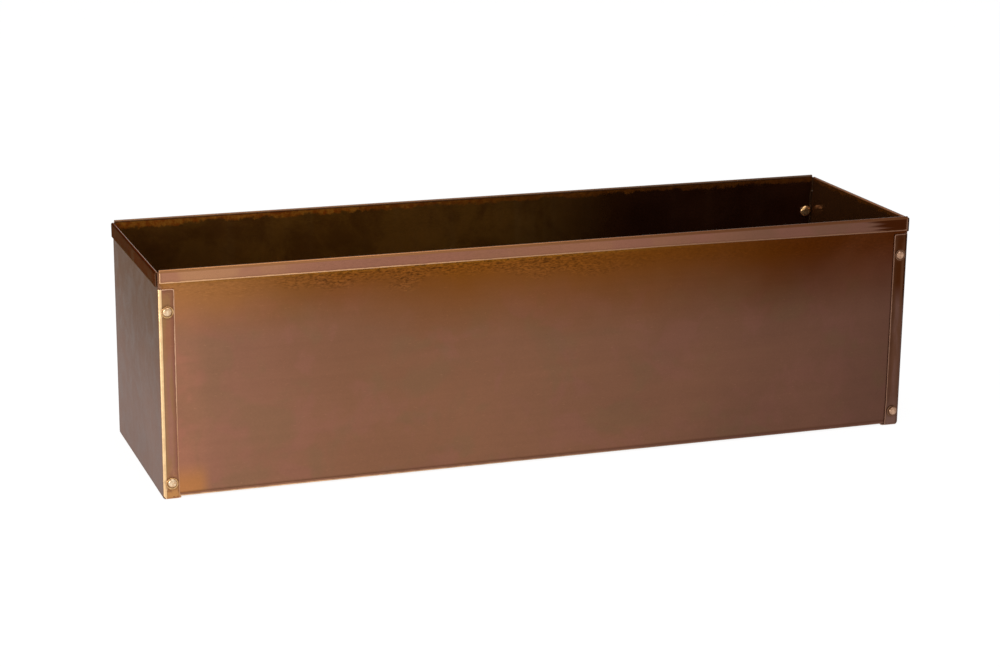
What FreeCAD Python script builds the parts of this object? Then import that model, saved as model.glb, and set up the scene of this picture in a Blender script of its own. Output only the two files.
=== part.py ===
import FreeCAD, Part
import math
import os

# Window box planter made from copper sheet.
#
# One sheet is folded into a trough: front wall, base and back wall, with both top edges hemmed
# outward. Two end caps close it. Each cap is a plate with an outward hem along the rim, a flange
# turned in under the base and two side flanges that lap over the outside of the trough's walls.
# Eight rivets hold the side flanges. Each has its round head inside the box, and its shank is
# clenched outside over a burr.
#
# Units are millimetres. +X runs along the length, the front faces -Y and +Z is up. The origin is
# the middle of the footprint, on the plane that the box stands on.

# ---- Driving dimensions ----------------------------------------------------------------------

# Overall sizes
box_length = 610.0              # over the outer faces of the two end plates
trough_width = 170.0            # over the outer faces of the front and back walls
rim_height = 175.0              # from the ground to the top of the hems

# Sheet, folds and laps
sheet = 1.0                     # thickness of the copper
base_bend_radius = 1.5          # inside radius between the base and a wall
cap_bend_radius = 1.0           # inside radius between an end plate and its flanges
hem_height = 10.0               # from the rim down to the free edge of a hem
hem_gap = 0.5                   # air left inside a hem
lap_clearance = 0.05            # between two sheets that lap
butt_clearance = 0.15           # from a trough end to the start of the end cap's bend

# Flanges of the end caps
side_flange_width = 12.0        # from the end plate's outer face to the flange's free edge
foot_flange_width = 14.0        # the same, for the flange under the base
flange_below_hem = 4.3          # from the hem's free edge down to the top of a side flange
flange_above_ground = 0.6       # bare height under a side flange
flange_corner_radius = 1.5      # rounding of the flanges' free corners
corner_clip_length = 2.5        # filed off the sharp bottom corner, along the box
corner_clip_width = 4.0         # the same, across the box
corner_clip_height = 4.0        # the same, upwards

# Rivets and burrs
rivet_inset = 6.6               # from the end plate's outer face to a rivet's axis
rivet_above_ground = 12.5       # height of the lower rivets
rivet_below_flange_top = 17.2   # from the top of a side flange down to the upper rivets
shank_diameter = 4.0
hole_clearance = 0.1            # on the diameter, round a shank
head_diameter = 9.5             # domed head, inside the box
head_height = 2.4
clench_diameter = 7.0           # domed clenched end, outside the box
clench_height = 1.9
hammer_flats = 24               # flats that the hammer leaves round a dome
hammer_rows = 3                 # rows of flats, from a dome's rim to its top
burr_diameter = 9.0
burr_thickness = 0.8

# Drain holes in the base
drain_diameter = 10.0
drain_count = 5
drain_end_distance = 65.0       # from an end plate's outer face to the nearest hole

# ---- Places that follow from them -------------------------------------------------------------

half_length = box_length / 2
wall_face = trough_width / 2
hem_bend_radius = hem_gap / 2
hem_outer_radius = hem_bend_radius + sheet
hem_centre_height = rim_height - hem_outer_radius
hem_run = hem_height - hem_outer_radius
base_underside = sheet + lap_clearance
base_bend_height = base_underside + sheet + base_bend_radius
cap_outer_radius = cap_bend_radius + sheet
flange_face = wall_face + lap_clearance + sheet
trough_end = half_length - cap_outer_radius - butt_clearance
side_flange_top = rim_height - hem_height - flange_below_hem
rivet_low = rivet_above_ground
rivet_high = side_flange_top - rivet_below_flange_top
grip = sheet + lap_clearance + sheet
hole_diameter = shank_diameter + hole_clearance

origin = FreeCAD.Vector(0, 0, 0)
x_axis = FreeCAD.Vector(1, 0, 0)
y_axis = FreeCAD.Vector(0, 1, 0)
z_axis = FreeCAD.Vector(0, 0, 1)
cut_margin = 1.0                # how far a cutter runs past what it cuts
place_tolerance = 0.001         # for finding an edge by where it lies


# ---- Folding ------------------------------------------------------------------------------------

def turned(vector, degrees):
    """Turn a vector in the drawing plane, anticlockwise."""
    return FreeCAD.Rotation(z_axis, degrees).multVec(vector)


def bent_section(start, heading, steps):
    """Section of a bent sheet, as a face in the drawing plane.

    start lies on the sheet's left side, looking along heading, in degrees from +X. Each step is
    a straight run, then a bend: its degrees, positive to the left, and its inside radius.
    """
    direction = turned(x_axis, heading)
    left = turned(direction, 90)
    sides = [start, start - left * sheet]
    edges = [Part.LineSegment(sides[0], sides[1])]
    for run, degrees, inside_radius in steps:
        if run:
            ahead = [point + direction * run for point in sides]
            edges += [Part.LineSegment(near, far) for near, far in zip(sides, ahead)]
            sides = ahead
        if degrees:
            if degrees > 0:
                centre = sides[0] + left * inside_radius
            else:
                centre = sides[1] - left * inside_radius
            middle = [centre + turned(point - centre, degrees / 2) for point in sides]
            ahead = [centre + turned(point - centre, degrees) for point in sides]
            edges += [Part.Arc(*points) for points in zip(sides, middle, ahead)]
            sides = ahead
            direction = turned(direction, degrees)
            left = turned(left, degrees)
    edges.append(Part.LineSegment(sides[0], sides[1]))
    shapes = [edge.toShape() for edge in edges]
    return Part.Face(Part.Wire(Part.__sortEdges__(shapes)))


def edges_at(shape, **place):
    """Edges of a shape that lie wholly at the given x, y or z."""
    def lies_there(edge):
        return all(
            abs(getattr(vertex.Point, axis) - value) < place_tolerance
            for vertex in edge.Vertexes
            for axis, value in place.items()
        )
    return [edge for edge in shape.Edges if lies_there(edge)]


# ---- Trough -------------------------------------------------------------------------------------

def trough_blank():
    """Front wall, base and back wall with their hems, folded from one sheet."""
    hem_face = wall_face + hem_gap + sheet
    start = FreeCAD.Vector(-hem_face, rim_height - hem_height, 0)
    wall_run = hem_centre_height - base_bend_height
    base_run = trough_width - 2 * (sheet + base_bend_radius)
    section = bent_section(start, 90, [
        (hem_run, -180, hem_bend_radius),
        (wall_run, 90, base_bend_radius),
        (base_run, 90, base_bend_radius),
        (wall_run, -180, hem_bend_radius),
        (hem_run, 0, 0),
    ])
    section.Placement = FreeCAD.Placement(
        FreeCAD.Vector(-trough_end, 0, 0),
        FreeCAD.Rotation(y_axis, z_axis, x_axis, "XYZ"),
    )
    return section.extrude(x_axis * (2 * trough_end))


def drain_cutters():
    """Cylinders down the middle of the base, one for each drain hole."""
    first = half_length - drain_end_distance
    spacing = 2 * first / (drain_count - 1)
    bottom = base_underside - cut_margin
    return [
        Part.makeCylinder(
            drain_diameter / 2,
            sheet + 2 * cut_margin,
            FreeCAD.Vector(-first + index * spacing, 0, bottom),
        )
        for index in range(drain_count)
    ]


def rivet_hole_cutters():
    """Cylinders across the box, each through a front hole and the back hole behind it."""
    reach = flange_face + cut_margin
    return [
        Part.makeCylinder(
            hole_diameter / 2,
            2 * reach,
            FreeCAD.Vector(side * (half_length - rivet_inset), -reach, height),
            y_axis,
        )
        for side in (-1, 1)
        for height in (rivet_low, rivet_high)
    ]


def trough():
    return trough_blank().cut(drain_cutters() + rivet_hole_cutters())


# ---- End caps -----------------------------------------------------------------------------------

def hemmed_plate():
    """Plate of the right end cap, with its hem and the flange that turns under the base."""
    width = 2 * (flange_face - cap_outer_radius)
    start = FreeCAD.Vector(half_length + hem_gap, rim_height - hem_height, 0)
    section = bent_section(start, 90, [
        (hem_run, 180, hem_bend_radius),
        (hem_centre_height - cap_outer_radius, -90, cap_bend_radius),
        (foot_flange_width - cap_outer_radius, 0, 0),
    ])
    section.Placement = FreeCAD.Placement(y_axis * (width / 2), FreeCAD.Rotation(x_axis, 90))
    plate = section.extrude(y_axis * -width)
    corners = [
        edge
        for side in (-1, 1)
        for edge in edges_at(plate, x=half_length - foot_flange_width, y=side * width / 2)
    ]
    return plate.makeFillet(flange_corner_radius, corners)


def side_flange():
    """Front flange of the right end cap, with the bend that carries it."""
    start = FreeCAD.Vector(half_length, cap_outer_radius - flange_face, 0)
    section = bent_section(start, -90, [
        (0, -90, cap_bend_radius),
        (side_flange_width - cap_outer_radius, 0, 0),
    ])
    section.translate(z_axis * flange_above_ground)
    flange = section.extrude(z_axis * (side_flange_top - flange_above_ground))
    corners = [
        edge
        for height in (flange_above_ground, side_flange_top)
        for edge in edges_at(flange, x=half_length - side_flange_width, z=height)
    ]
    return flange.makeFillet(flange_corner_radius, corners)


def corner_cutter(side):
    """Block that files off the sharp bottom corner at the front (side -1) or back (side 1)."""
    outward = FreeCAD.Vector(1 / corner_clip_length, side / corner_clip_width, -1 / corner_clip_height)
    size = 2 * (corner_clip_length + corner_clip_width + corner_clip_height)
    block = Part.makeBox(size, size, size, FreeCAD.Vector(-size / 2, -size / 2, 0))
    block.Placement = FreeCAD.Placement(
        FreeCAD.Vector(half_length - corner_clip_length, side * flange_face, 0),
        FreeCAD.Rotation(z_axis, outward),
    )
    return block


def right_end_cap():
    front = side_flange()
    back = front.mirror(origin, y_axis)
    cap = hemmed_plate().fuse([front, back]).removeSplitter()
    return cap.cut([corner_cutter(-1), corner_cutter(1)] + rivet_hole_cutters())


def left_end_cap():
    return right_end_cap().mirror(origin, x_axis)


# ---- Rivets and burrs ---------------------------------------------------------------------------

def flat(*corners):
    """Flat face through the given corners."""
    return Part.Face(Part.makePolygon(list(corners) + [corners[0]]))


def hammered_ring(radius, height):
    """Corners round one row of hammer flats."""
    corner = x_axis * radius + z_axis * height
    return [turned(corner, 360 * index / hammer_flats) for index in range(hammer_flats)]


def hammered_dome(diameter, foot, top):
    """Shallow dome of hammer flats, from its rim at height foot to its top on the axis."""
    radius = diameter / 2
    rise = abs(top - foot)
    sphere = (radius ** 2 + rise ** 2) / (2 * rise)
    rim_angle = math.asin(radius / sphere)
    rings = []
    for row in range(hammer_rows):
        angle = rim_angle * (1 - row / hammer_rows)
        height = top + math.copysign(sphere * (1 - math.cos(angle)), foot - top)
        rings.append(hammered_ring(sphere * math.sin(angle), height))
    faces = [flat(*rings[0])]
    for index in range(hammer_flats):
        for lower, upper in zip(rings, rings[1:]):
            faces.append(flat(lower[index - 1], lower[index], upper[index], upper[index - 1]))
        faces.append(flat(rings[-1][index - 1], rings[-1][index], z_axis * top))
    return Part.Solid(Part.Shell(faces))


def rivet():
    """Rivet on the Z axis, with the inside face of its sheets at the origin and +Z outward."""
    clench_foot = grip + burr_thickness
    head = hammered_dome(head_diameter, 0, -head_height)
    clench = hammered_dome(clench_diameter, clench_foot, clench_foot + clench_height)
    shank = Part.makeCylinder(shank_diameter / 2, clench_foot)
    return shank.fuse([head, clench])


def burr():
    """Burr on the Z axis, in the rivet's frame, lying on the outside of the flange."""
    foot = z_axis * grip
    disc = Part.makeCylinder(burr_diameter / 2, burr_thickness, foot)
    return disc.cut(Part.makeCylinder(hole_diameter / 2, burr_thickness, foot))


def at_rivet(shape, end, side, height):
    """Place a rivet or burr: end -1 left, 1 right; side -1 front, 1 back."""
    placed = shape.copy()
    placed.Placement = FreeCAD.Placement(
        FreeCAD.Vector(end * (half_length - rivet_inset), side * (wall_face - sheet), height),
        FreeCAD.Rotation(z_axis, y_axis * side),
    )
    return placed


def fasteners():
    """Every rivet and its burr, by name."""
    plain_rivet = rivet()
    plain_burr = burr()
    named = {}
    for side_name, side in (("front", -1), ("back", 1)):
        for end_name, end in (("left", -1), ("right", 1)):
            for height_name, height in (("bottom", rivet_low), ("top", rivet_high)):
                place = f"{side_name}_{end_name}_{height_name}"
                named[f"rivet_{place}"] = at_rivet(plain_rivet, end, side, height)
                named[f"burr_{place}"] = at_rivet(plain_burr, end, side, height)
    return named


# ---- Export -------------------------------------------------------------------------------------

def export(nodes):
    os.makedirs("parts", exist_ok=True)
    for name, shape in nodes.items():
        solids = len(shape.Solids)
        print(f"{name}: {solids} solid, {shape.Volume:.1f} mm3, valid {shape.isValid()}")
        shape.exportStep(f"parts/{name}.step")


export({
    "trough": trough(),
    "left_end_cap": left_end_cap(),
    "right_end_cap": right_end_cap(),
    **fasteners(),
})
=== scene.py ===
import math
from functools import reduce

import bmesh
import bpy
import numpy as np
from mathutils import Matrix, Vector
from mathutils.geometry import delaunay_2d_cdt


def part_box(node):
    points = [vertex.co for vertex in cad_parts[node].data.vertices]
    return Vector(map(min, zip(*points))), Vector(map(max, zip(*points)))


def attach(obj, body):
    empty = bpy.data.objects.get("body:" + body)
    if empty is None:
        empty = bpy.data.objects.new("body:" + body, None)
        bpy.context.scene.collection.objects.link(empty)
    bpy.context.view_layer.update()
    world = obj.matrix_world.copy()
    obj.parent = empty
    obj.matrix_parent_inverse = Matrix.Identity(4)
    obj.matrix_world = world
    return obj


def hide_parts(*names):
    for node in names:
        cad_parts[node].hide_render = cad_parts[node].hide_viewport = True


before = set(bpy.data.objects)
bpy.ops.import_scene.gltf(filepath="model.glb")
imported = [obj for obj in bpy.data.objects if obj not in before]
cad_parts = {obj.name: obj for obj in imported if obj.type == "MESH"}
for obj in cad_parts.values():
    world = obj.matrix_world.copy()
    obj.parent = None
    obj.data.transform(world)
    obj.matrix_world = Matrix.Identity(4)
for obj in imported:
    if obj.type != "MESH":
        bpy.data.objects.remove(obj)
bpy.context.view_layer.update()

# Copper window box, folded from sheet. Sizes are in millimetres up to the point where a mesh is
# made. The walls, base and end caps are laid out as flat blanks, cut with their holes, and then
# folded, so that every cut edge and every bend is where the sheet metal worker made it.

MM = 0.001

# ---- Sizes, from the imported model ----


def box_mm(node):
    low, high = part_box(node)
    return np.array(low) / MM, np.array(high) / MM


trough_low, trough_high = box_mm("trough")
cap_low, cap_high = box_mm("right_end_cap")
rivet_low, rivet_high = box_mm("rivet_front_right_bottom")
upper_rivet_low, upper_rivet_high = box_mm("rivet_front_right_top")

SHEET = 1.0
HEM_GAP = 0.5
HEM_HEIGHT = 10.0
CAP_DROP = 1.6                  # the caps' rims stand this much under the walls'
CAP_HEM_HEIGHT = 11.4
HEM_RADIUS = HEM_GAP / 2
BASE_BEND = 1.5
CAP_BEND = 1.0
FLANGE_CORNER = 1.5
CUT_ROUND = 0.28                # filed edge of the sheet
DRAIN_RADIUS = 5.0
RIVET_HOLE = 2.05               # radius
MESH_STEP = 7.0                 # between the lines across a flat stretch of sheet
GRADED = (0.5, 1.2, 2.6, 5.0)   # lines beside a bend or an edge
SNIP_ROUND = 0.7                # corners where the hems were snipped
EAR_GAP = 0.3                   # between the wall's ears and the caps
RIVET_CLEAR = 0.9               # round a rivet hole, free of the grid's points
WELD = 0.004                    # points closer than this become one

rim = trough_high[2]
hem_centre = rim - HEM_RADIUS - SHEET
hem_run = HEM_HEIGHT - HEM_RADIUS - SHEET
cap_rim = rim - CAP_DROP
cap_hem_centre = hem_centre - CAP_DROP
cap_hem_run = CAP_HEM_HEIGHT - HEM_RADIUS - SHEET
wall_face = trough_high[1] - HEM_GAP - SHEET
trough_end = trough_high[0]
base_underside = trough_low[2]
plate_face = cap_high[0] - HEM_GAP - SHEET
flange_face = cap_high[1]
foot_edge = cap_low[0]
plate_half_width = flange_face - CAP_BEND - SHEET
side_flange_width = 12.0
side_flange_top = 160.7
side_flange_foot = 0.6
rivet_x = (rivet_low[0] + rivet_high[0]) / 2
rivet_heights = [(low[2] + high[2]) / 2
                 for low, high in ((rivet_low, rivet_high), (upper_rivet_low, upper_rivet_high))]
drain_places = [-240.0, -120.0, 0.0, 120.0, 240.0]


# ---- Folding sheet metal ----

def folded_line(start, heading, steps):
    """Middle line of a bent sheet, as runs: from, to, start point, heading, curvature.

    A step is a straight run, the degrees of the bend after it and the bend's inside radius.
    """
    runs, reach = [], 0.0
    point, angle = np.array(start, float), math.radians(heading)
    for length, degrees, inside_radius in steps:
        if length:
            runs.append((reach, reach + length, point, angle, 0.0))
            point = point + length * np.array([math.cos(angle), math.sin(angle)])
            reach += length
        if degrees:
            turn = math.radians(degrees)
            arc = abs(turn) * (inside_radius + SHEET / 2)
            bend = turn / arc
            runs.append((reach, reach + arc, point, angle, bend))
            chord = np.array([math.sin(angle + turn) - math.sin(angle),
                              math.cos(angle) - math.cos(angle + turn)])
            point = point + chord / bend
            angle += turn
            reach += arc
    return runs


def along(runs, reach):
    """Points of a folded line, the unit vectors to its left and how deep each is in a fold."""
    points, left = np.zeros((len(reach), 2)), np.zeros((len(reach), 2))
    fold = np.zeros(len(reach))
    for index, (first, last, start, angle, bend) in enumerate(runs):
        here = reach >= first if index else np.ones(len(reach), bool)
        step = reach[here] - first
        turned = angle + bend * step
        if bend:
            points[here, 0] = start[0] + (np.sin(turned) - math.sin(angle)) / bend
            points[here, 1] = start[1] - (np.cos(turned) - math.cos(angle)) / bend
            outside = np.maximum(first - reach, reach - last)
            fold = np.maximum(fold, np.clip(1 - outside / 1.2, 0, 1))
        else:
            points[here] = start + step[:, None] * np.array([math.cos(angle), math.sin(angle)])
        left[here, 0], left[here, 1] = -np.sin(turned), np.cos(turned)
    return points, left, fold


def in_order(*values):
    return sorted({round(v, 5) for v in values})


def stations(first, last, step):
    """Lines across a straight run, closer together towards both of its ends."""
    length = last - first
    near = [g for g in GRADED if g < length * 0.4]
    inner = near[-1] if near else 0
    count = max(1, round((length - 2 * inner) / step))
    middle = np.linspace(first + inner, last - inner, count + 1)
    return in_order(first, last, *middle, *(first + g for g in near), *(last - g for g in near))


def line_stations(runs, step, bend_steps=9):
    """Lines across a folded line: graded on the straights, evenly spaced in the bends."""
    places = []
    for first, last, _, _, bend in runs:
        if bend:
            count = bend_steps * max(1, round((last - first) * abs(bend) / 1.6))
            places += [*np.linspace(first, last, count + 1)]
        else:
            places += stations(first, last, step)
    return in_order(*places)


def ring(centre, radius, count, turn=1):
    angles = turn * np.arange(count) / count * 2 * math.pi
    return np.array(centre) + radius * np.stack([np.cos(angles), np.sin(angles)], 1)


def softened(corners, round_at):
    """Outline with some of its corners rounded. round_at gives a radius for a corner's index."""
    path = []
    for index, corner in enumerate(corners):
        corner = np.array(corner, float)
        radius = round_at.get(index, 0)
        if not radius:
            path.append(corner)
            continue
        before = np.array(corners[index - 1], float) - corner
        after = np.array(corners[(index + 1) % len(corners)], float) - corner
        before /= np.linalg.norm(before)
        after /= np.linalg.norm(after)
        centre = corner + radius * (before + after)
        for share in np.linspace(0, 1, 5):
            sweep = math.pi / 2 * share
            path.append(centre - radius * (after * math.cos(sweep) + before * math.sin(sweep)))
    return np.array(path)


def divided(path, lines_a, lines_b):
    """Closed outline with a point wherever it crosses a line of the grid."""
    out = []
    for index, start in enumerate(path):
        end = path[(index + 1) % len(path)]
        out.append(start)
        delta = end - start
        shares = [(line - start[axis]) / delta[axis]
                  for axis, lines in ((0, lines_a), (1, lines_b)) if abs(delta[axis]) > 1e-6
                  for line in lines]
        length = np.linalg.norm(delta)
        near = 0.25 / length if length else 1
        for share in sorted(s for s in shares if near < s < 1 - near):
            point = start + share * delta
            if np.linalg.norm(point - out[-1]) > 0.2:
                out.append(point)
    return np.array(out)


def edge_gap(points, loops):
    """Distance from each point to the nearest of the loops' edges."""
    gap = np.full(len(points), 1e9)
    for loop in loops:
        for start, end in zip(loop, np.roll(loop, -1, 0)):
            delta = end - start
            share = np.clip(((points - start) @ delta) / max(delta @ delta, 1e-12), 0, 1)
            away = points - start - share[:, None] * delta
            gap = np.minimum(gap, np.hypot(away[:, 0], away[:, 1]))
    return gap


def mitres(loop):
    """Outward corner vectors of a loop that has the metal on its left."""
    after = np.roll(loop, -1, 0) - loop
    after /= np.linalg.norm(after, axis=1)[:, None]
    outward = np.stack([after[:, 1], -after[:, 0]], 1)
    before = np.roll(outward, 1, 0)
    return (before + outward) / (1 + (before * outward).sum(1))[:, None]


def new_object(name, data):
    made = bpy.data.objects.new(name, data)
    bpy.context.collection.objects.link(made)
    return made


def turn_normals_out(mesh):
    bm = bmesh.new()
    bm.from_mesh(mesh)
    bmesh.ops.recalc_face_normals(bm, faces=bm.faces)
    bm.to_mesh(mesh)
    bm.free()


def sheet_mesh(name, outline, drains, rivets, grid, fold, zone):
    """Thick sheet: cut from a flat blank, its edges filed round, then folded.

    outline runs anticlockwise. drains and rivets are the middles of holes, and grid holds the
    points inside. fold turns blank places and heights over the middle of the sheet into space,
    and gives each place's depth in a fold. zone names the material of a place, for each side of
    the sheet.
    """
    worn = [outline, *(ring(c, DRAIN_RADIUS, 48, -1) for c in drains)]
    loops = [*worn, *(ring(c, RIVET_HOLE, 24, -1) for c in rivets)]
    grid = without_discs(grid, rivets, RIVET_HOLE + RIVET_CLEAR)
    corners = [mitres(loop) for loop in loops]
    inset = [loop - CUT_ROUND * corner for loop, corner in zip(loops, corners)]
    clear = edge_gap(grid, loops) > CUT_ROUND + 0.18
    flat, seams = [], []
    for loop in inset:
        first, count = len(flat), len(loop)
        flat += [Vector(p) for p in loop]
        seams += [(first + i, first + (i + 1) % count) for i in range(count)]
    flat += [Vector(p) for p in grid[clear]]
    laid, _, faces, sources, _, _ = delaunay_2d_cdt(flat, seams, [], 2, 1e-7)
    laid = np.array([tuple(p) for p in laid])
    found = {source: index for index, group in enumerate(sources) for source in group}
    half = SHEET / 2
    count = len(laid)
    places = [laid, laid]
    heights = [np.full(count, half), np.full(count, -half)]
    triangles, quads = np.array(faces), []
    start, first = 2 * count, 0
    for loop, corner, pulled in zip(loops, corners, inset):
        size = len(loop)
        upper = np.array([found[first + i] for i in range(size)])
        rings = [upper]
        for side, degrees in ((1, 60), (1, 30), (1, 0), (-1, 0), (-1, -30), (-1, -60)):
            angle = math.radians(degrees)
            places.append(pulled + CUT_ROUND * math.cos(angle) * corner)
            heights.append(np.full(size, side * (half - CUT_ROUND) + CUT_ROUND * math.sin(angle)))
            rings.append(start + np.arange(size))
            start += size
        rings.append(upper + count)
        for near, far in zip(rings, rings[1:]):
            quads.append(np.stack([near, far, np.roll(far, -1), np.roll(near, -1)], 1))
        first += size
    places, heights = np.concatenate(places), np.concatenate(heights)
    quads = np.concatenate(quads)
    spots, folds = fold(places, heights)
    gap = edge_gap(places, worn)
    halo = np.full(len(places), 50.0)
    for centre in rivets:
        halo = np.minimum(halo, np.hypot(*(places - centre).T))

    mesh = bpy.data.meshes.new(name)
    everything = [*triangles.tolist(), *(triangles[:, ::-1] + count).tolist(), *quads.tolist()]
    mesh.from_pydata((spots * MM).tolist(), [], everything)
    turn_normals_out(mesh)
    for label, values in (("edge_gap", gap), ("fold", folds), ("rivet_gap", halo)):
        attribute = mesh.attributes.new(label, "FLOAT", "POINT")
        attribute.data.foreach_set("value", values.astype(np.float32))
    middles = np.array([places[face].mean(0) for face in everything])
    tops = np.array([heights[face].mean() > -0.01 for face in everything])
    used, indices = np.unique(zone(middles, tops), return_inverse=True)
    for label in used:
        mesh.materials.append(finishes[label])
    mesh.polygons.foreach_set("material_index", indices.astype(np.int32))
    mesh.polygons.foreach_set("use_smooth", [True] * len(everything))
    return new_object(name, mesh)


def crossed(lines_a, lines_b):
    a, b = np.meshgrid(lines_a, lines_b, indexing="ij")
    return np.stack([a.ravel(), b.ravel()], 1)


def without_discs(grid, centres, radius):
    keep = np.ones(len(grid), bool)
    for centre in centres:
        keep &= np.hypot(*(grid - centre).T) > radius
    return grid[keep]


def sway(a, b, seed):
    """Slow, uneven waves of hand-flattened sheet, about -1 to 1."""
    pick = np.random.default_rng(seed)
    total = np.zeros(len(a))
    for _ in range(7):
        turn, length = pick.uniform(0, math.pi), pick.uniform(90, 260)
        total += np.sin((a * math.cos(turn) + b * math.sin(turn)) * 2 * math.pi / length
                        + pick.uniform(0, 2 * math.pi))
    return total / 3.2


def settle(value, low, high):
    """Smooth step from 0 at low to 1 at high."""
    share = np.clip((value - low) / (high - low), 0, 1)
    return share * share * (3 - 2 * share)


# ---- Nodes ----

def tone(red, green, blue):
    """Colour as it looks, 0 to 255, made linear."""
    def straight(value):
        value /= 255
        return value / 12.92 if value <= 0.04045 else ((value + 0.055) / 1.055) ** 2.4
    return (straight(red), straight(green), straight(blue), 1.0)


def shading(owner):
    """The node tree of a material or a world, emptied."""
    owner.use_nodes = True
    owner.node_tree.nodes.clear()
    return owner.node_tree


class Nodes:
    """Node tree set out by plain calls.

    A value is a number, a vector, another node's socket, or None to leave the socket alone.
    Three numbers given to a colour socket are a colour as it looks, 0 to 255.
    """

    def __init__(self, tree):
        self.tree = tree

    def node(self, kind, *values, **named):
        """Node with values in the order of its sockets, and with named values.

        A name with a capital is a socket's, with _ for a space, and any other is a setting's.
        """
        made = self.tree.nodes.new(kind)
        for key, value in named.items():
            if key.islower():
                setattr(made, key, value)
        for socket, value in zip([s for s in made.inputs if s.enabled], values):
            self.link(value, socket)
        for key, value in named.items():
            if not key.islower():
                self.link(value, made.inputs[key.replace("_", " ")])
        return made

    def out(self, kind, *values, **named):
        return self.node(kind, *values, **named).outputs[0]

    def link(self, value, socket):
        if isinstance(value, bpy.types.NodeSocket):
            self.tree.links.new(value, socket)
        elif value is not None:
            as_it_looks = socket.type == "RGBA" and len(value) == 3
            socket.default_value = tone(*value) if as_it_looks else value

    def sum(self, operation, *values, clamp=False):
        return self.out("ShaderNodeMath", *values, operation=operation, use_clamp=clamp)

    def times(self, *values):
        return reduce(lambda first, second: self.sum("MULTIPLY", first, second), values)

    def plus(self, *values):
        return reduce(lambda first, second: self.sum("ADD", first, second), values)

    def minus(self, value, other):
        return self.sum("SUBTRACT", value, other)


# ---- Finishes ----

class Finish(Nodes):
    """Material that reads places on its object, in metres."""

    def __init__(self, name):
        self.material = bpy.data.materials.new(name)
        super().__init__(shading(self.material))
        self.place = self.node("ShaderNodeTexCoord").outputs["Object"]
        self.x, self.y, self.z = self.node("ShaderNodeSeparateXYZ", self.place).outputs

    def between(self, value, low, high, start=0.0, end=1.0, smooth=True):
        """start where value is low, end where it is high, blended in between."""
        return self.out("ShaderNodeMapRange", value, low, high, start, end,
                        interpolation_type="SMOOTHSTEP" if smooth else "LINEAR")

    def swung(self, noise, start, end):
        """A noise's usual range turned into another."""
        return self.between(noise, 0.3, 0.7, start, end)

    def mix(self, share, first, second):
        return self.node("ShaderNodeMix", share, first, second, data_type="RGBA").outputs[2]

    def over(self, under, colour, value, *span):
        """A colour laid over another by a value and its span, as in between."""
        return self.mix(self.between(value, *span), under, colour)

    def attribute(self, name):
        return self.node("ShaderNodeAttribute", attribute_name=name).outputs["Fac"]

    def noise(self, scale, detail=2.0, roughness=0.5, distortion=0.0, stretch=None, shift=None):
        place = self.place
        if stretch:
            place = self.out("ShaderNodeMapping", place, Scale=stretch, Location=shift)
        return self.out("ShaderNodeTexNoise", Vector=place, Scale=scale, Detail=detail,
                        Roughness=roughness, Distortion=distortion)

    def bump(self, height, strength, distance, below=None):
        return self.out("ShaderNodeBump", Strength=strength, Distance=distance, Height=height,
                        Normal=below)

    def close(self, colour, roughness, normal, metallic=1.0, edge_on=(0.8, 0.8, 0.8)):
        """edge_on is the colour of the metal's mirror for glancing light, as a linear colour."""
        shader = self.out("ShaderNodeBsdfPrincipled", Base_Color=colour, Roughness=roughness,
                          Normal=normal, Metallic=metallic, Specular_Tint=(*edge_on, 1))
        self.node("ShaderNodeOutputMaterial", shader)
        return self.material


RUBBED_AND_LIT_COPPER = (255, 214, 160)
# Oxide brown, also laid on as painted shade beside the folds and just above the wall's bottom fold
OXIDE_AND_SHADE = (70, 38, 20)


def side_lit(left, right):
    """Painted light: colour that turns from one to the other from the left of the box, where the
    lamp is, to the right.
    """
    return lambda made: made.over(left, right, made.x, -0.25, 0.2)


def everywhere(colour):
    return lambda made: colour


dull_edge, dull_wear = everywhere((96, 64, 46)), everywhere((140, 104, 82))
# filed_edge is filed copper, painted lighter at the left and darker at the right as the lamp light
# falls
filed_edge = side_lit((240, 196, 152), (132, 98, 78))


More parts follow.
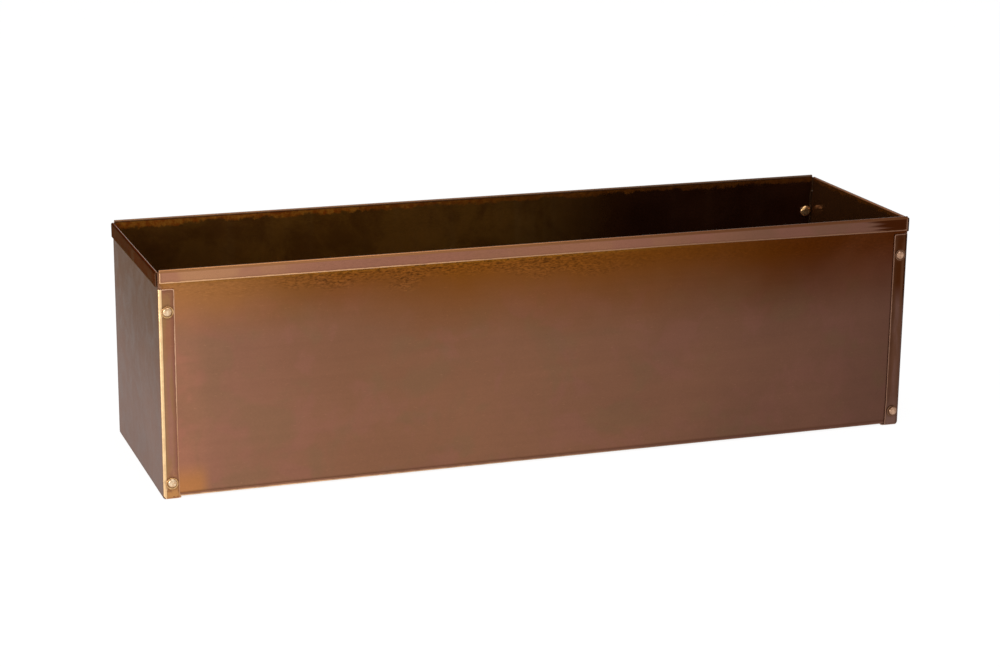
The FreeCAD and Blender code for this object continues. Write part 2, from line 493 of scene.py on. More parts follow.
def patina(name, ground, worn, fleck=1.0, sheen=0.34, edge_width=1.1, folds=(0.15, 0.5),
           cloudy=0.14, metallic=1.0, edge_on=(0.8, 0.8, 0.8), cut=filed_edge, crease=None,
           rim_lines=(), seed=0.0):
    """Aged copper: a ground of patina tones, clouded, flecked and streaked, worn along its edges.

    ground, worn, cut and crease take the finish and give the colour of the patina, of rubbed
    metal, of a filed edge and of a rubbed fold, and these carry painted light and shade; each
    fold also gets painted shade beside it. rim_lines have their upper and lower depth under the
    rim in millimetres, and their colour at the left and at the right.
    """
    made = Finish(name)
    shift = (seed, seed * 1.7, seed * 0.6)
    cloud = made.noise(7, 4, 0.55, 0.6, (1, 1, 1.25), shift)
    mottle = made.noise(46, 5, 0.6, 0.4, (1, 1, 1), shift)
    grain = made.noise(620, 3, 0.6)
    rolled = made.noise(5, 3, 0.6, 0, (1, 1, 34), shift)
    colour = made.over(ground(made), (96, 60, 40), cloud, 0.34, 0.66, 0, cloudy)
    light = made.times(made.between(cloud, 0.38, 0.7, 0.96, 1.09),
                       made.swung(mottle, 0.955, 1.045),
                       made.swung(rolled, 0.985, 1.02),
                       made.swung(grain, 0.97, 1.03))

    # Orange peel of small marks just under the rims, in drifts, and stray flecks elsewhere
    marks = made.noise(520, 4, 0.65, 0.8, (0.5, 1, 1.7), shift)
    strokes = made.noise(680, 2, 0.5, 0.7, (0.45, 1, 1.6), shift)
    drift = made.noise(13, 3, 0.6, 0, (1, 1, 1.6), shift)
    high = made.between(made.plus(made.z, made.swung(drift, -0.008, 0.008)),
                        0.147, 0.158)
    west = made.times(made.between(made.x, -0.25, -0.16),
                      made.between(made.x, -0.04, 0.11, 1, 0))
    band = made.times(high, made.between(west, 0, 1, 0.25, 1), fleck)
    swing = made.times(made.between(strokes, 0.36, 0.64, -0.36, 0.34), band)
    light = made.times(light, made.plus(1, swing),
                       made.between(strokes, 0.66, 0.74, 1, 1 + 0.18 * fleck))
    lit = made.out("ShaderNodeVectorMath", colour, operation="SCALE", Scale=light)
    specks = made.times(made.between(marks, 0.66, 0.74), made.between(drift, 0.52, 0.66), 0.35)
    pits = made.times(made.between(strokes, 0.4, 0.3), band, 0.45)
    colour = made.mix(made.sum("MAXIMUM", specks, pits), lit, (58, 28, 10))

    # Cut edges rubbed back to copper, with a darker line where the patina stops
    gap = made.attribute("edge_gap")
    ragged = made.noise(150, 3, 0.6)
    reach = made.swung(ragged, edge_width * 0.75, edge_width * 1.2)
    share = made.sum("DIVIDE", gap, reach)
    edge = made.between(share, 0.75, 1.1, 1, 0)
    dark = made.minus(made.between(share, 1.2, 2.4, 0.22, 0), edge)
    colour = made.mix(made.sum("MAXIMUM", dark, 0), colour, OXIDE_AND_SHADE)
    rubbed = made.times(edge, made.between(made.noise(60, 3), 0.3, 0.6, 0.6, 0.95))
    colour = made.mix(rubbed, colour, worn(made))

    # Folds rubbed a little, their rubbed tone partly a painted highlight, painted shade beside
    # each fold, and darker round the rivets
    depth = made.attribute("fold")
    beside = made.times(made.between(depth, 0, 0.3), made.between(depth, 0.3, 0.8, 0.25, 0))
    colour = made.mix(beside, colour, OXIDE_AND_SHADE)
    fold = made.times(made.between(depth, 0.3, 0.85), made.between(ragged, 0.3, 0.65, *folds))
    colour = made.mix(fold, colour, (crease or worn)(made))
    colour = made.over(colour, (84, 50, 30), made.attribute("rivet_gap"), 4.6, 7, 0.3, 0)
    colour = made.over(colour, cut(made), gap, 0.2, 0.45, 0.85, 0)
    for line in rim_lines:
        colour = just_under_rim(made, colour, *line)

    rough = made.plus(made.swung(mottle, sheen - 0.05, sheen + 0.06),
                      made.swung(grain, -0.02, 0.03))
    rough = made.plus(made.minus(rough, made.times(edge, 0.06)),
                      made.between(gap, 0.2, 0.45, 0.2, 0))
    peel = made.bump(marks, 0.2, 0.0004)
    dents = made.bump(made.noise(24), 0.22, 0.0035, peel)
    return made.close(colour, rough, dents, metallic, edge_on)


def just_under_rim(made, colour, first, last, left, right):
    """Line of another tone between two depths under the rim, in millimetres, painted lighter at
    the left than at the right and duller on the back.
    """
    shade = made.over(left, right, made.x, -0.2, 0.2)
    shade = made.over(shade, (88, 66, 50), made.y, -0.02, 0.02, 0, 0.8)
    top = rim * MM
    line = made.times(made.between(made.z, top - last * MM, top - (last - 0.6) * MM),
                      made.between(made.z, top - (first + 0.35) * MM, top - first * MM, 1, 0),
                      0.85)
    return made.mix(line, colour, shade)


def front_ground(made):
    """Rose brown low on the wall and amber brown towards the rim, both painted darker to the right
    as shade away from the left lamp.
    """
    east = made.between(made.x, -0.3, 0.3, smooth=False)
    warped = made.plus(east, made.between(made.noise(4), 0.2, 0.8, -0.04, 0.04))
    rose = made.mix(east, (164, 108, 90), (98, 63, 55))
    olive = made.mix(east, (142, 108, 78), (86, 65, 47))
    low = (140, 96, 71)
    # The first two rows paint the wall darker to the right and lighter at the left, as light and
    # shade
    for colour, value, *span in (
            ((92, 62, 51), warped, 0.24, 1.1),
            ((159, 110, 88), warped, -0.04, 0.25, 1, 0),
            ((84, 52, 34), made.z, 0.05, 0.12, 0, 0.12),
            ((176, 117, 92), made.x, -0.29, -0.264, 0.7, 0),
            (rose, made.noise(31, 3, 0.55, 0.4), 0.5, 0.64, 0, 0.36),
            (olive, made.noise(27, 3, 0.55, 0.4, (1, 1, 1), (3, 1, 2)), 0.5, 0.64, 0, 0.4)):
        low = made.over(low, colour, value, *span)
    corner = made.times(made.between(made.z, 0.01, 0.03, 1, 0),
                        made.between(made.x, -0.279, -0.267, 0.55, 0))
    low = made.mix(corner, low, (200, 132, 62))
    high = made.over((174, 116, 66), (123, 70, 19), warped, -0.03, 0.22)
    # Painted shade: the amber turns nearly black at the upper right, standing for the dark studio
    # that it mirrors
    high = made.over(high, (70, 29, 3), warped, 0.36, 1)
    lift = made.plus(made.z, made.between(made.noise(9, 3, 0.6), 0.2, 0.8, -0.008, 0.008))
    amber_foot = made.between(east, 0.15, 0.4, 0.118, 0.09)
    amber_top = made.between(east, 0.4, 0.7, 0.164, 0.159)
    wall = made.over(low, high, lift, amber_foot, amber_top)
    under_hem = made.times(made.between(made.z, 0.1615, 0.1645),
                           made.between(east, 0.5, 0.8, 0.35, 0))
    wall = made.mix(under_hem, wall, (146, 98, 24))
    # Painted reflection of the floor's shadow: a dark band just above the bottom fold
    return made.over(wall, OXIDE_AND_SHADE, made.z, 0.003, 0.0062, 0.68, 0)


def flange_ground(made):
    """Like the wall behind it and painted darker to the right as shade, with stains down its
    length, painted shade along its edges, and a rubbed foot at the left painted bright as a
    highlight.
    """
    east = made.between(made.x, -0.2, 0.2)
    low = made.mix(east, (164, 114, 93), (97, 67, 56))
    high = made.mix(east, (164, 110, 80), (62, 27, 5))
    body = made.over(low, high, made.z, 0.098, 0.122)
    gap = made.attribute("edge_gap")
    stains = made.noise(160, 3, 0.6, 0.3, (1, 1, 0.14), (1, 0, 2))
    # Stains, painted shade 1.5 to 4.5 mm in from the edges, and a lighter tone blended in from 6
    # to 9 mm in
    for left, right, value, *span in (
            ((158, 118, 74), (84, 52, 32), stains, 0.46, 0.62, 0, 0.6),
            ((134, 82, 68), (66, 36, 18), gap, 1.5, 4.5, 0.5, 0),
            ((166, 126, 80), (84, 54, 36), gap, 6, 9, 0, 0.5)):
        body = made.over(body, made.mix(east, left, right), value, *span)
    # The foot is rubbed and painted bright at the left as a highlight, and darker at the right as
    # shade
    rubbed = made.over((194, 138, 84), (152, 100, 66), made.noise(260, 3, 0.6), 0.42, 0.58)
    foot = made.mix(east, rubbed, (108, 80, 70))
    return made.over(body, foot, made.z, 0.002, 0.03, 1, 0)


def hem_ground(made):
    """Amber rose at the left, painted darker to the right as shade, and turning dark in streaks
    near its right end.
    """
    east = made.between(made.x, -0.3, 0.3, smooth=False)
    warped = made.plus(east, made.between(made.noise(5, 3), 0.2, 0.8, -0.08, 0.08))
    face = made.over((190, 136, 98), (149, 101, 77), warped, 0, 0.27)
    face = made.over(face, (110, 76, 60), warped, 0.45, 0.95)
    rose = made.mix(east, (170, 114, 92), (112, 72, 62))
    face = made.over(face, rose, made.noise(30), 0.4, 0.6, 0, 0.6)
    streaks = made.noise(4, 3, 0.7, 0, (1, 1, 110))
    turn = made.plus(made.x, made.swung(streaks, -0.009, 0.009))
    return made.over(face, (60, 24, 5), turn, 0.27, 0.286)


def end_ground(made):
    return made.over((142, 111, 98), (110, 73, 40), made.z, 0.04, 0.162)


def end_hem_ground(made):
    return made.over((98, 53, 10), (108, 60, 18), made.noise(12), 0.3, 0.7)


def underside_ground(made):
    return made.over((128, 84, 60), (96, 62, 44), made.noise(10, 4), 0.35, 0.65)


def inside_ground(made):
    """Olive brown, with an orange brown band along the top, wider and stronger at the left, and
    faint run marks.
    """
    east = made.between(made.x, -0.01, 0.15)
    runs = made.noise(36, 3, 0.6, 0.2, (1, 1, 0.12))
    deep = made.over(made.mix(east, (148, 101, 38), (66, 31, 12)),
                     made.mix(east, (158, 116, 62), (84, 48, 26)), runs, 0.5, 0.72, 0, 0.5)
    clouds = made.noise(22, 5, 0.65, 0.5)
    dark = made.mix(east, (88, 46, 13), (48, 20, 8))
    deep = made.over(deep, dark, clouds, 0.42, 0.66, 0, 0.55)
    # The right cap is lighter than the walls beside it
    deep = made.over(deep, (98, 58, 28), made.x, 0.301, 0.3036)
    band = made.plus(made.z, made.between(made.x, -0.3, -0.22, 0.0022, 0),
                     made.swung(made.noise(90, 5, 0.75), -0.0018, 0.0022))
    mottle = made.between(made.noise(170, 4, 0.7), 0.35, 0.65)
    orange_band = made.over(made.mix(mottle, (206, 100, 14), (255, 170, 60)),
                     made.mix(mottle, (150, 78, 14), (186, 106, 28)), made.x, -0.22, 0.1)
    share = made.times(made.between(band, 0.169, 0.1714),
                       made.between(made.x, 0, 0.2, 0.92, 0.6))
    return made.mix(share, deep, orange_band)


def wall_fold_wear_and_highlight(made):
    """Only the underside of the wall's bottom fold is rubbed, and painted bright there as a
    highlight, brightest at the left; the other rubbed tone is painted darker to the right.
    """
    bright = side_lit((255, 206, 160), (134, 94, 70))(made)
    plain = side_lit((150, 104, 80), (94, 62, 52))(made)
    return made.over(plain, bright, made.z, 0.0018, 0.0031, 1, 0)


def flange_wear_and_light(made):
    # Rubbed edges, painted lighter at the left where the lamp is, and there lighter higher up
    left = made.over((170, 114, 78), (226, 178, 146), made.z, 0.03, 0.095)
    return side_lit(left, (122, 90, 72))(made)


def flange_bend_light_and_shade(made):
    """Painted highlight on the left cap's bends, which are also rubbed bright; the right one's are
    painted dark, as bends the lamp doesn't reach, darkest near the top.
    """
    right = made.over((86, 60, 50), (48, 20, 4), made.z, 0.095, 0.115)
    return side_lit(RUBBED_AND_LIT_COPPER, right)(made)


finishes = {
    "wall": patina("patina_on_walls", front_ground, wall_fold_wear_and_highlight, folds=(0.6, 0.95), cut=dull_edge),
    "flange": patina("patina_on_flanges", flange_ground, flange_wear_and_light, edge_width=0.8,
                     folds=(0.75, 1), cut=side_lit((226, 178, 140), (150, 112, 92)),
                     crease=flange_bend_light_and_shade, seed=0.3),
    "hem": patina("patina_on_hems", hem_ground, side_lit((224, 170, 124), (128, 92, 70)), 0.1,
                  sheen=0.30, edge_width=0.95, folds=(0.0, 0.2), seed=0.6,
                  # On the hems the rim line is painted shade: the crest and the band under it are
                  # darkened as the dark studio they mirror
                  rim_lines=[(-1.0, 2.4, (160, 108, 66), (100, 60, 34))]),
    "end": patina("patina_on_end_plates", end_ground, dull_wear, 0.1, sheen=0.40, cloudy=0.07,
                  edge_on=(0.6, 0.6, 0.6), cut=dull_edge, seed=0.9),
    "end_hem": patina("patina_on_end_hems", end_hem_ground, side_lit((116, 84, 62), (84, 48, 30)),
                      0.1, edge_on=(0.28, 0.24, 0.12), seed=1.2,
                      cut=side_lit((96, 64, 46), (58, 26, 12)),
                      rim_lines=[(2, 3.4, (80, 46, 20), (60, 34, 20))]),
    "inside": patina("patina_inside", inside_ground, side_lit((128, 98, 78), (112, 84, 60)), 0.2,
                     sheen=0.11, edge_width=1.3, cloudy=0.3, folds=(0.1, 0.4), metallic=0.68,
                     cut=side_lit((176, 130, 92), (188, 150, 118)), seed=1.5,
                     rim_lines=[(-1, 1.4, (148, 106, 76), (104, 74, 52)),
                                (0.8, 2, (104, 44, 16), (70, 36, 16))]),
    "underside": patina("patina_underneath", underside_ground, dull_wear, seed=1.8),
}


# ---- Trough ----

wall_run = hem_centre - (base_underside + SHEET + BASE_BEND)
trough_line = folded_line((-(wall_face + HEM_GAP + SHEET / 2), rim - HEM_HEIGHT), 90, [
    (hem_run, -180, HEM_RADIUS),
    (wall_run, 90, BASE_BEND),
    (2 * (wall_face - SHEET - BASE_BEND), 90, BASE_BEND),
    (wall_run, -180, HEM_RADIUS),
    (hem_run, 0, 0),
])
trough_reach = trough_line[-1][1]
front_top = trough_line[2][0]
base_start, base_end = trough_line[4][:2]


def fold_trough(places, heights):
    """Blank places are x along the trough and the reach across it, from hem to hem."""
    x, reach = places.T
    # The front hem was cut wider towards its right end
    free_edge = np.clip(trough_line[0][1] - reach, 0, None)
    reach = reach - free_edge * 0.19 * np.clip((x - 90) / 190, 0, 1)
    points, left, fold = along(trough_line, reach)
    y, z = (points + heights[:, None] * left).T
    side = np.sign(y)
    # The walls swell a little in the middle, and the base sags
    on_base = (reach > base_start) & (reach < base_end)
    on_wall = settle(z, 6, 70) * (1 - settle(z, 120, 164))
    away = 1 - settle(np.abs(x), 235, 288)
    swell = 0.45 + 0.55 * sway(x, z + 400 * (side > 0), 11)
    y += np.where(on_base, 0, side * on_wall * away * swell * 0.75)
    middle = settle(85 - np.abs(y), 4, 60) * (1 - settle(np.abs(x), 260, 290))
    z += np.where(on_base, middle * (0.25 * sway(x, y, 12) - 0.3), 0)
    # The hems stand off here and there
    hem = (reach < trough_line[0][1]) | (reach > trough_line[-1][0])
    free = settle(rim - z, 2, 10)
    open_hem = 0.16 * (1 + sway(x, side * 300, 13)) * (1 - settle(np.abs(x), 282, 300))
    y += np.where(hem, side * free * open_hem, 0)
    return np.column_stack([x, y, z]), fold


def trough_zones(middles, tops):
    """The trough's inside face runs over the rim and becomes the outer face of the hems."""
    reach = middles[:, 1]
    crest = sum(trough_line[1][:2]) / 2
    on_hem = (reach < crest) | (reach > trough_reach - crest)
    on_base = (base_start < reach) & (reach < base_end)
    return np.where(tops, np.where(on_hem, "hem", "inside"),
                    np.where(on_base, "underside", "wall"))


def make_trough():
    across = line_stations(trough_line, MESH_STEP)
    hem_end = plate_face - SHEET - 0.25
    ear_end = plate_face - EAR_GAP
    length = stations(-hem_end, hem_end, MESH_STEP)
    ear = front_top + hem_centre - side_flange_top - EAR_GAP
    far_ear = trough_reach - ear
    crest = trough_line[1][1] + 0.3
    right = [(hem_end, 0), (hem_end, crest), (ear_end, crest + 0.6), (ear_end, ear),
             (trough_end, ear + 0.25)]
    right += [(x, trough_reach - reach) for x, reach in reversed(right)]
    corners = right + [(-x, reach) for x, reach in reversed(right)]
    rounds = dict.fromkeys((0, 9, 10, 19), SNIP_ROUND)
    outline = divided(softened(corners, rounds), length, across)
    base_middle = (base_start + base_end) / 2
    drains = [(x, base_middle) for x in drain_places]
    reaches = [front_top + hem_centre - z for z in rivet_heights]
    rivets = [(side * rivet_x, reach) for side in (-1, 1)
              for near in reaches for reach in (near, trough_reach - near)]
    grid = crossed(length, across)
    on_ear = (grid[:, 1] < ear) | (grid[:, 1] > far_ear)
    grid = grid[on_ear | (np.abs(grid[:, 0]) < trough_end - 0.4)]
    grid = without_discs(grid, drains, DRAIN_RADIUS + 4.5)
    rounds = [ring(c, DRAIN_RADIUS + more, 40) for c in drains for more in (0.8, 1.6, 3.2)]
    grid = np.concatenate([grid, *rounds])
    return sheet_mesh("folded_trough", outline, drains, rivets, grid, fold_trough, trough_zones)


# ---- End caps ----

cap_line = folded_line((plate_face + HEM_GAP + SHEET / 2, cap_rim - CAP_HEM_HEIGHT), 90, [
    (cap_hem_run, 180, HEM_RADIUS),
    (cap_hem_centre - CAP_BEND - SHEET, -90, CAP_BEND),
    (plate_face - CAP_BEND - SHEET - foot_edge, 0, 0),
])
flange_line = folded_line((plate_face - SHEET / 2, plate_half_width), 90, [
    (0, 90, CAP_BEND),
    (side_flange_width - CAP_BEND - SHEET, 0, 0),
])
cap_reach = cap_line[-1][1]
plate_top, plate_foot = cap_line[2][:2]
foot_bend_end = cap_line[3][1]
flange_bend = flange_line[0][1]
flange_reach = plate_half_width + flange_line[-1][1]


def plate_at(height):
    """Reach down the plate at a height over the ground."""
    return plate_top + cap_hem_centre - height


def fold_cap(end):
    def fold(places, heights):
        """Blank places are the place across the plate and the reach down it, from hem to foot."""
        across, reach = places.T
        points, left, fold_depth = along(cap_line, reach)
        x, z = (points + heights[:, None] * left).T
        beyond = np.abs(across) - plate_half_width
        turned, outward, flange_depth = along(flange_line, np.maximum(beyond, 0))
        flange_x, flange_y = (turned - heights[:, None] * outward).T
        on_flange = beyond > 0
        x = np.where(on_flange, flange_x, x)
        y = np.where(on_flange, np.sign(across) * flange_y, across)
        z = np.where(on_flange, cap_hem_centre - (reach - plate_top), z)
        near_bend = np.clip(1 + beyond / 1.2, 0, 1) * (reach > plate_at(side_flange_top))
        depth = np.where(on_flange, flange_depth, np.maximum(fold_depth, near_bend))
        # The plate swells a little in the middle, and its hem stands off here and there
        hem = reach < cap_line[0][1]
        on_plate = settle(z, 5, 60) * (1 - settle(z, 120, 166))
        level = 1 - settle(np.abs(across), 40, 80)
        swell = 0.35 * on_plate * level * (1 + 0.6 * sway(across, z, 21 + end))
        x += np.where(on_flange | hem, 0, swell)
        free = settle(cap_rim - z, 2, 8)
        give = np.maximum(1 + sway(across, across * 0 + 9, 23 + end), 0)
        x -= np.where(hem, free * 0.1 * give, 0)
        # Left by the hammer: the free edge strays a little at the lower rivet and towards the foot
        stray = settle(beyond, 6, 12.36) * (0.35 * np.exp(-((z - 12) / 4.0) ** 2)
                                            + 0.55 * (1 - settle(z, 0, 11)))
        x -= np.where(on_flange, stray, 0)
        return np.column_stack([x * end, y, z]), depth
    return fold


def cap_zones(middles, tops):
    y, reach = middles.T
    on_flange = np.abs(y) > plate_half_width + flange_bend * 0.35
    on_hem = reach < sum(cap_line[1][:2]) / 2
    outer = np.select([on_flange, reach > foot_bend_end], ["flange", "underside"], "end")
    return np.where(on_hem & ~on_flange, "end_hem", np.where(tops, outer, "inside"))


def make_cap(name, end):
    w, f = plate_half_width, flange_reach
    top, foot = plate_at(side_flange_top), plate_at(side_flange_foot)
    notch = [(w + flange_bend + 0.12, foot), (w + flange_bend, plate_at(0.8)),
             (w + flange_bend * 0.36, plate_at(2.57)), (w, plate_at(2.0)),
             (w - 0.57, plate_foot + 0.84), (w, plate_foot + 1.7)]
    beside_ear = w - 0.1
    right = [(beside_ear, 0), (beside_ear, top), (f, top), (f, foot), *notch, (w, cap_reach)]
    left = [(-y, reach) for y, reach in reversed(right)]
    corners = right + left
    count = len(corners)
    rounds = {0: SNIP_ROUND, 2: FLANGE_CORNER, 3: FLANGE_CORNER, len(right) - 1: FLANGE_CORNER}
    rounds.update({count - 1 - index: radius for index, radius in list(rounds.items())})
    down = in_order(*line_stations(cap_line, MESH_STEP),
                    *(v for g in GRADED[:3] for v in (top - g, top + g, foot - g)))
    sides = line_stations(flange_line, 2.2)
    wide = in_order(*stations(-w, w, MESH_STEP), *(v for g in sides for v in (w + g, -w - g)))
    outline = divided(softened(corners, rounds), wide, down)
    straight = flange_reach - (side_flange_width - (plate_face - rivet_x))
    rivets = [(side * straight, plate_at(z)) for side in (-1, 1) for z in rivet_heights]
    grid = crossed(wide, down)
    inside = (np.abs(grid[:, 0]) < w) | ((grid[:, 1] > top) & (grid[:, 1] < foot))
    clipped = (np.abs(grid[:, 0]) > w - 0.9) & (np.abs(grid[:, 0]) < w + flange_bend + 0.4)
    clipped &= (grid[:, 1] > plate_at(3.1)) & (grid[:, 1] < plate_foot + 2.0)
    grid = grid[inside & ~clipped]
    return sheet_mesh(name, outline, [], rivets, grid, fold_cap(end), cap_zones)


# ---- Rivets and burrs ----

def rubbed_and_lit_metal(name, dull, bright, unworn):
    """Blotches of patina and of rubbed metal, each at the left and at the right of the box; the
    left tones are painted lighter, partly as the lamp's highlights, the right ones darker as
    shade. unworn is the colour inside the box, where nothing rubs."""
    made = Finish(name)
    blotch = made.noise(420, 4, 0.6, 0.5)
    fine = made.noise(2200, 3, 0.6)
    from_middle = made.sum("ABSOLUTE", made.y)
    outside = made.between(from_middle, (wall_face - SHEET) * MM, wall_face * MM)
    east = made.times(made.between(made.x, -0.1, 0.1), outside)
    colour = made.over(made.mix(east, *dull), made.mix(east, *bright), blotch, 0.32, 0.62)
    colour = made.over(colour, unworn, outside, 0, 1, 0.8, 0)
    colour = made.over(colour, (86, 54, 34), fine, 0.3, 0.7, 0, 0.18)
    # Painted shade on the burrs next to the clenched end, where the two meet
    painted_shade = made.between(made.attribute("from_axis"), 0, 1)
    colour = made.mix(made.times(painted_shade, 0.8), colour, (74, 42, 20))
    rough = made.times(made.swung(blotch, 0.32, 0.2),
                       made.between(outside, 0, 1, 0.75, 1))
    peened = made.bump(made.noise(900), 0.25, 0.0002)
    return made.close(colour, rough, peened, metallic=0.82)


rivet_metal = rubbed_and_lit_metal("rubbed_rivet_copper", ((214, 166, 118), (148, 110, 84)),
                           ((255, 226, 188), (198, 158, 130)), (236, 184, 120))
burr_metal = rubbed_and_lit_metal("patina_on_burrs", ((190, 136, 84), (92, 60, 40)),
                          ((250, 202, 140), (128, 92, 68)), (190, 136, 84))


class Tree(Nodes):
    """Geometry node tree with named inputs."""

    def __init__(self, name, sizes):
        super().__init__(bpy.data.node_groups.new(name, "GeometryNodeTree"))
        face = self.tree.interface
        face.new_socket("Geometry", in_out="INPUT", socket_type="NodeSocketGeometry")
        self.sockets = {}
        for label, value in sizes.items():
            kind = "NodeSocketInt" if isinstance(value, int) else "NodeSocketFloat"
            socket = face.new_socket(label, in_out="INPUT", socket_type=kind)
            self.sockets[socket.identifier] = value
        face.new_socket("Geometry", in_out="OUTPUT", socket_type="NodeSocketGeometry")
        self.source = self.node("NodeGroupInput").outputs


def turned_shape(tree, rows, profile):
    """Lathe work: a grid rolled up round Z. Along it, profile gives the radius, the height, a lean
    to one side and how much painted shade lies there."""
    grid = tree.out("GeometryNodeMeshGrid", 1.0, 1.0, tree.source["around"], rows)
    x, y, _ = tree.node("ShaderNodeSeparateXYZ", tree.out("GeometryNodeInputPosition")).outputs
    angle = tree.times(tree.plus(x, 0.5), 2 * math.pi)
    radius, height, lean, painted_shade = profile(tree.sum("ADD", y, 0.5, clamp=True))
    place = tree.out("ShaderNodeCombineXYZ",
                     tree.plus(tree.times(radius, tree.sum("COSINE", angle)), lean),
                     tree.times(radius, tree.sum("SINE", angle)), height)
    stored = tree.out("GeometryNodeStoreNamedAttribute", grid, None, "from_axis", painted_shade,
                      data_type="FLOAT", domain="POINT")
    return tree.out("GeometryNodeSetPosition", stored, None, place)


def dome_profile(tree, radius, rise, start, direction, lean=0.0):
    """Flat under side out from the shank, then over the dome to the axis."""
    shank, brim_share = tree.source["shank_radius"], 0.12

    def profile(share):
        under = tree.sum("DIVIDE", share, brim_share, clamp=True)
        lift = tree.sum("DIVIDE", tree.minus(share, brim_share), 1 - brim_share, clamp=True)
        angle = tree.times(lift, math.pi / 2)
        brim = tree.plus(shank, tree.times(tree.minus(radius, shank), under))
        out = tree.times(brim, tree.sum("POWER", tree.sum("COSINE", angle), 0.72))
        up = tree.times(rise, tree.sum("POWER", tree.sum("SINE", angle), 0.86))
        # Last blow of the punch, in the middle
        near = tree.sum("DIVIDE", out, tree.times(radius, 0.30))
        pit = tree.sum("EXPONENT", tree.times(near, near, -1.0))
        up = tree.times(up, tree.minus(1.0, tree.times(pit, 0.10)))
        return out, tree.plus(start, tree.times(up, direction)), tree.times(lean, under), 0.0
    return profile


def put_out(tree, shape, material):
    """A copy at each marked place, facing out of the wall, turned and hammered its own way."""
    closed = tree.out("GeometryNodeMergeByDistance", shape, Distance=WELD * MM)
    facing = tree.out("GeometryNodeInputNamedAttribute", "facing", data_type="FLOAT_VECTOR")
    aim = tree.out("FunctionNodeAlignRotationToVector", None, None, facing, axis="Z")
    spins = tree.node("FunctionNodeRandomValue", 0.0, 2 * math.pi, None, tree.source["seed"],
                      data_type="FLOAT").outputs
    spin = next(s for s in spins if s.enabled)
    about = tree.out("FunctionNodeAxisAngleToRotation", (0, 0, 1), spin)
    turn = tree.out("FunctionNodeRotateRotation", aim, about, rotation_space="LOCAL")
    copies = tree.out("GeometryNodeInstanceOnPoints", tree.source["Geometry"], Instance=closed,
                      Rotation=turn)
    real = tree.out("GeometryNodeRealizeInstances", copies)
    rough = tree.node("ShaderNodeTexNoise", Scale=620.0, Detail=1.0).outputs["Color"]
    offset = tree.out("ShaderNodeVectorMath", rough, (0.5, 0.5, 0.5), operation="SUBTRACT")
    dent = tree.out("ShaderNodeVectorMath", offset, operation="SCALE", Scale=tree.source["wobble"])
    moved = tree.out("GeometryNodeSetPosition", real, Offset=dent)
    painted = tree.out("GeometryNodeSetMaterial", moved, None, material)
    tree.node("NodeGroupOutput", tree.out("GeometryNodeSetShadeSmooth", painted))


def rivet_tree():
    tree = Tree("rivets_clenched_over_burrs", {
        "shank_radius": 2.0 * MM, "head_radius": 4.72 * MM, "head_rise": 2.34 * MM,
        "clench_radius": 3.3 * MM, "clench_rise": 1.84 * MM, "grip": 2.86 * MM,
        "clench_lean": 0.55 * MM, "wobble": 0.10 * MM, "around": 49, "rows": 30, "seed": 8,
    })
    s = tree.source
    head = turned_shape(tree, s["rows"], dome_profile(
        tree, s["head_radius"], s["head_rise"], 0.0, -1.0))
    clench = turned_shape(tree, s["rows"], dome_profile(
        tree, s["clench_radius"], s["clench_rise"], s["grip"], 1.0, s["clench_lean"]))
    shank = turned_shape(tree, 4, lambda share: (
        s["shank_radius"], tree.times(share, s["grip"]), 0.0, 0.0))
    joined = tree.node("GeometryNodeJoinGeometry")
    for part in (tree.out("GeometryNodeFlipFaces", head), clench, shank):
        tree.link(part, joined.inputs[0])
    put_out(tree, joined.outputs[0], rivet_metal)
    return tree


def burr_tree():
    tree = Tree("burrs_under_clenched_ends", {
        "bore_radius": 2.05 * MM, "burr_radius": 4.48 * MM, "thickness": 0.8 * MM,
        "foot": 2.06 * MM, "wobble": 0.06 * MM, "around": 49, "rows": 25, "seed": 9,
    })
    s = tree.source

    def profile(share):
        angle = tree.times(share, 2 * math.pi)
        middle = tree.times(tree.plus(s["bore_radius"], s["burr_radius"]), 0.5)
        half = tree.times(tree.minus(s["burr_radius"], s["bore_radius"]), 0.5)
        rise = tree.times(s["thickness"], 0.5)
        parts = []
        for wave, size, power in (("COSINE", half, 0.35), ("SINE", rise, 0.6)):
            swing = tree.sum(wave, angle)
            shaped = tree.sum("POWER", tree.sum("ABSOLUTE", swing), power)
            parts.append(tree.times(shaped, tree.sum("SIGN", swing), size))
        out = tree.plus(middle, parts[0])
        # Painted shade over the burr's inner part, next to the clenched end
        outer = tree.sum("DIVIDE", tree.minus(s["burr_radius"], out), 1.5 * MM, clamp=True)
        return out, tree.plus(s["foot"], rise, parts[1]), 0.0, outer

    put_out(tree, turned_shape(tree, s["rows"], profile), burr_metal)
    return tree


def fastened(name, tree):
    """Runs a tree on the eight rivet places and keeps the result as a plain mesh."""
    inside_face = wall_face - SHEET
    marks = [(end * rivet_x * MM, side * inside_face * MM, height * MM)
             for side in (-1, 1) for end in (-1, 1) for height in rivet_heights]
    mesh = bpy.data.meshes.new(name + "_places")
    mesh.from_pydata(marks, [], [])
    facing = mesh.attributes.new("facing", "FLOAT_VECTOR", "POINT")
    for item, mark in zip(facing.data, marks):
        item.vector = (0, math.copysign(1, mark[1]), 0)
    holder = new_object(name + "_places", mesh)
    modifier = holder.modifiers.new("fasteners", "NODES")
    modifier.node_group = tree.tree
    for identifier, value in tree.sockets.items():
        modifier[identifier] = value
    shown = holder.evaluated_get(bpy.context.evaluated_depsgraph_get())
    solid = bpy.data.meshes.new_from_object(shown)
    holder.modifiers.remove(modifier)
    bpy.data.objects.remove(holder)
    turn_normals_out(solid)
    solid.name = name
    return new_object(name, solid)


def same_on_every_corner(kind):
    return [f"{kind}_{side}_{end}_{height}" for side in ("front", "back")
            for end in ("left", "right") for height in ("bottom", "top")]


# ---- The object ----

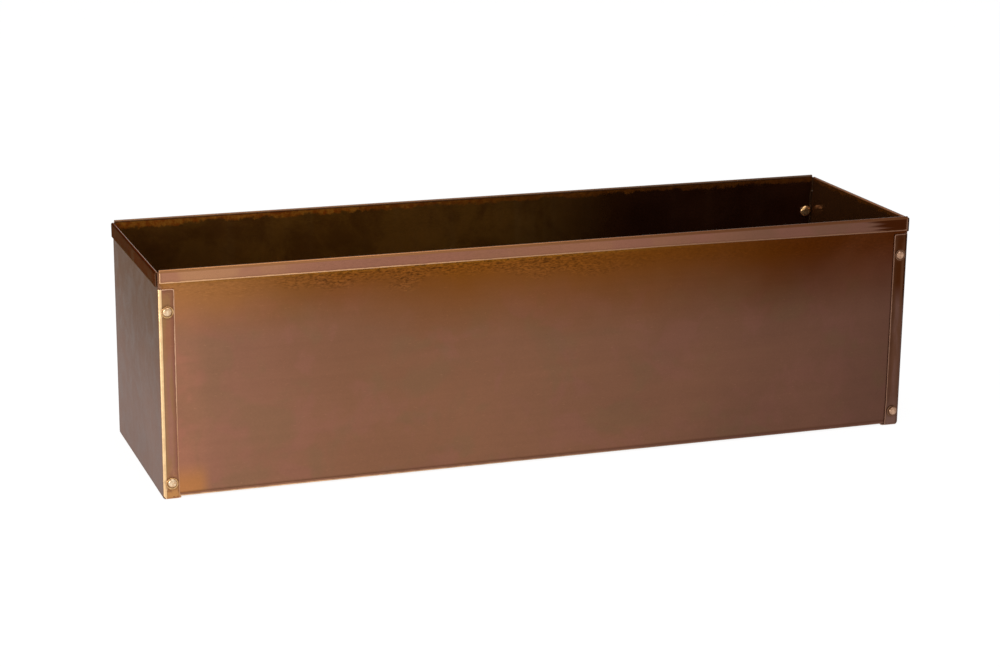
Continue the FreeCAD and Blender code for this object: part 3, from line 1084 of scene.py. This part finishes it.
pieces = {
    make_trough(): (["trough"], "aged_copper_sheet"),
    make_cap("left_cap", -1): (["left_end_cap"], "aged_copper_sheet"),
    make_cap("right_cap", 1): (["right_end_cap"], "aged_copper_sheet"),
    fastened("rivets", rivet_tree()): (same_on_every_corner("rivet"), "aged_copper_rivet"),
    fastened("burrs", burr_tree()): (same_on_every_corner("burr"), "aged_copper_rivet"),
}
for piece, (nodes, slot) in pieces.items():
    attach(piece, "root")
    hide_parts(*nodes)


# ---- Floor, light and camera ----

def seen_directly(made):
    """1 for rays from the camera and for mirrored and refracted rays, else 0."""
    path = made.node("ShaderNodeLightPath").outputs
    seen = path["Is Camera Ray"]
    for label in ("Is Glossy Ray", "Is Transmission Ray"):
        seen = made.sum("MAXIMUM", seen, path[label])
    return seen


def make_floor():
    """Pale paper that glows a little where it is seen directly, and is clear from below."""
    mesh = bpy.data.meshes.new("studio_floor")
    reach = 6.0
    corners = [(-reach, -reach, 0), (reach, -reach, 0), (reach, reach, 0), (-reach, reach, 0)]
    mesh.from_pydata(corners, [], [(0, 1, 2, 3)])
    material = bpy.data.materials.new("pale_paper")
    made = Nodes(shading(material))
    paper = made.out("ShaderNodeBsdfDiffuse", (0.9, 0.9, 0.9, 1))
    glow = made.out("ShaderNodeEmission", Strength=1.12)
    share = made.times(seen_directly(made), 0.82)
    lit = made.out("ShaderNodeMixShader", share, paper, glow)
    below = made.node("ShaderNodeNewGeometry").outputs["Backfacing"]
    clear = made.out("ShaderNodeBsdfTransparent")
    made.node("ShaderNodeOutputMaterial", made.out("ShaderNodeMixShader", below, lit, clear))
    mesh.materials.append(material)
    new_object("studio_floor", mesh)


def make_world():
    """White studio, brightest where the camera sees it and dimmest as a light."""
    world = bpy.data.worlds.new("white_studio")
    bpy.context.scene.world = world
    made = Nodes(shading(world))
    level = made.out("ShaderNodeMapRange", seen_directly(made), 0, 1, 0.62, 1)
    to_camera = made.node("ShaderNodeLightPath").outputs["Is Camera Ray"]
    back = made.out("ShaderNodeBackground", (0.8, 0.8, 0.8, 1),
                    made.sum("MULTIPLY_ADD", to_camera, 0.3, level))
    made.node("ShaderNodeOutputWorld", back)


def softbox(name, place, target, width, height, level):
    """Area lamp whose face is so many times as bright as white."""
    lamp = bpy.data.lights.new(name, "AREA")
    lamp.shape = "RECTANGLE"
    lamp.size, lamp.size_y = width, height
    lamp.energy = level * math.pi * width * height
    holder = new_object(name, lamp)
    holder.location = place
    holder.rotation_euler = (Vector(target) - Vector(place)).to_track_quat("-Z", "Y").to_euler()


def make_camera():
    """The pinhole camera that was fitted to the box's corners in the photograph."""
    azimuth, elevation, roll = (math.radians(v) for v in (-19.623, 15.472, 0.584))
    target, distance = Vector((-0.01170, 0, 0.08098)), 1.9475
    focal_pixels, photo_width, sensor_width = 2428.6, 1000, 36.0
    back = Vector((math.sin(azimuth) * math.cos(elevation),
                   -math.cos(azimuth) * math.cos(elevation), math.sin(elevation)))
    lens = bpy.data.cameras.new("camera")
    lens.sensor_fit = "HORIZONTAL"
    lens.sensor_width = sensor_width
    lens.lens = focal_pixels / photo_width * sensor_width
    lens.clip_start, lens.clip_end = 0.05, 50.0
    camera = new_object("camera", lens)
    camera.location = target + back * distance
    camera.rotation_mode = "QUATERNION"
    level = (-back).to_track_quat("-Z", "Y")
    camera.rotation_quaternion = level @ Matrix.Rotation(roll, 3, "Z").to_quaternion()
    bpy.context.scene.camera = camera


make_floor()
make_world()
softbox("left_softbox", (-1.42, -0.50, 0.38), (-0.30, -0.08, 0.08), 0.5, 0.7, 7.0)
softbox("top_softbox", (0.1, -0.3, 1.7), (0, 0, 0.1), 1.4, 1.0, 1.6)
make_camera()
bpy.context.scene.view_settings.view_transform = "Standard"
